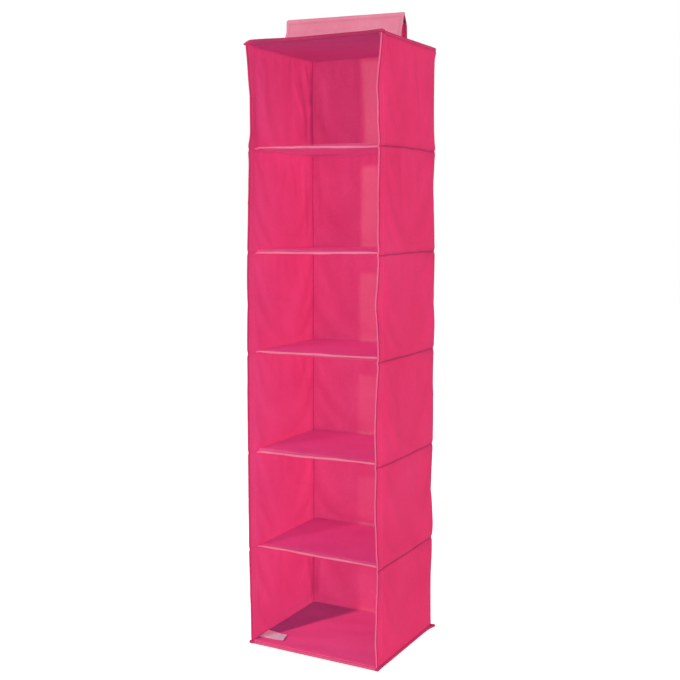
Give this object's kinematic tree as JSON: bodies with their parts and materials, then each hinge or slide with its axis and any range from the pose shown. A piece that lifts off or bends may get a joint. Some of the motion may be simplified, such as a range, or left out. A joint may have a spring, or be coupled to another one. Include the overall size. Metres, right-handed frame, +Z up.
{
  "type": "hanging shoe organizer",
  "caption": "Hanging fabric shoe organizer: a tall open-fronted tower of stacked compartments with board-stiffened shelves and a hook-and-loop strap over a wardrobe rail.",
  "frame": {"origin": "centre of the box around the hanging organizer, at its underside", "axes": "+Z up along the hanging direction, -Y towards the open front, +X towards the right side wall seen from the front"},
  "size_m": [0.3074, 0.2724, 1.3],
  "materials": {
    "pink_fabric": "matt non-woven, fine embossed weave",
    "pink_binding": "folded tape with a slight sheen",
    "strap_fabric": "matt, lighter pink, hemmed",
    "card_board": "plain chipboard",
    "hook_nylon": "black hooks on a woven tape",
    "loop_nylon": "black napped loops on a woven tape",
    "label_satin": "blank white satin tape"
  },
  "bodies": {
    "top": {"top_cover": "pink_fabric", "top_board": "card_board", "top_edge_binding": "pink_binding", "left_wall_1": "pink_fabric", "right_wall_1": "pink_fabric", "back_wall_1": "pink_fabric", "left_front_binding_1": "pink_binding", "right_front_binding_1": "pink_binding"},
    "shelf_1": {"shelf_1_cover": "pink_fabric", "shelf_1_board": "card_board", "left_wall_2": "pink_fabric", "right_wall_2": "pink_fabric", "back_wall_2": "pink_fabric", "left_front_binding_2": "pink_binding", "right_front_binding_2": "pink_binding"},
    "shelf_2": {"shelf_2_cover": "pink_fabric", "shelf_2_board": "card_board", "left_wall_3": "pink_fabric", "right_wall_3": "pink_fabric", "back_wall_3": "pink_fabric", "left_front_binding_3": "pink_binding", "right_front_binding_3": "pink_binding"},
    "shelf_3": {"shelf_3_cover": "pink_fabric", "shelf_3_board": "card_board", "left_wall_4": "pink_fabric", "right_wall_4": "pink_fabric", "back_wall_4": "pink_fabric", "left_front_binding_4": "pink_binding", "right_front_binding_4": "pink_binding"},
    "shelf_4": {"shelf_4_cover": "pink_fabric", "shelf_4_board": "card_board", "left_wall_5": "pink_fabric", "right_wall_5": "pink_fabric", "back_wall_5": "pink_fabric", "left_front_binding_5": "pink_binding", "right_front_binding_5": "pink_binding"},
    "shelf_5": {"shelf_5_cover": "pink_fabric", "shelf_5_board": "card_board", "left_wall_6": "pink_fabric", "right_wall_6": "pink_fabric", "back_wall_6": "pink_fabric", "left_front_binding_6": "pink_binding", "right_front_binding_6": "pink_binding"},
    "bottom": {"bottom_cover": "pink_fabric", "bottom_board": "card_board", "bottom_edge_binding": "pink_binding", "care_label": "label_satin"},
    "front_flap": {"front_hanging_flap": "strap_fabric", "hook_strip": "hook_nylon"},
    "rear_flap": {"rear_hanging_flap": "strap_fabric", "loop_strip": "loop_nylon"}
  },
  "joints": [
    {"name": "compartment_1_fold", "type": "slide", "parent": "top", "child": "shelf_1", "axis": [0, 0, 1], "range_m": [0, 0.194], "deforming": ["left_wall_1", "right_wall_1", "back_wall_1", "left_front_binding_1", "right_front_binding_1"]},
    {"name": "compartment_2_fold", "type": "slide", "parent": "shelf_1", "child": "shelf_2", "axis": [0, 0, 1], "range_m": [0, 0.194], "deforming": ["left_wall_2", "right_wall_2", "back_wall_2", "left_front_binding_2", "right_front_binding_2"]},
    {"name": "compartment_3_fold", "type": "slide", "parent": "shelf_2", "child": "shelf_3", "axis": [0, 0, 1], "range_m": [0, 0.194], "deforming": ["left_wall_3", "right_wall_3", "back_wall_3", "left_front_binding_3", "right_front_binding_3"]},
    {"name": "compartment_4_fold", "type": "slide", "parent": "shelf_3", "child": "shelf_4", "axis": [0, 0, 1], "range_m": [0, 0.194], "deforming": ["left_wall_4", "right_wall_4", "back_wall_4", "left_front_binding_4", "right_front_binding_4"]},
    {"name": "compartment_5_fold", "type": "slide", "parent": "shelf_4", "child": "shelf_5", "axis": [0, 0, 1], "range_m": [0, 0.194], "deforming": ["left_wall_5", "right_wall_5", "back_wall_5", "left_front_binding_5", "right_front_binding_5"]},
    {"name": "compartment_6_fold", "type": "slide", "parent": "shelf_5", "child": "bottom", "axis": [0, 0, 1], "range_m": [0, 0.194], "deforming": ["left_wall_6", "right_wall_6", "back_wall_6", "left_front_binding_6", "right_front_binding_6"]},
    {"name": "front_flap_hinge", "type": "hinge", "parent": "top", "child": "front_flap", "pos_m": [0, -0.0125, 1.2505], "axis": [1, 0, 0], "range_deg": [0, 85]},
    {"name": "rear_flap_hinge", "type": "hinge", "parent": "top", "child": "rear_flap", "pos_m": [0, 0.0135, 1.2505], "axis": [-1, 0, 0], "range_deg": [0, 85]}
  ]
}
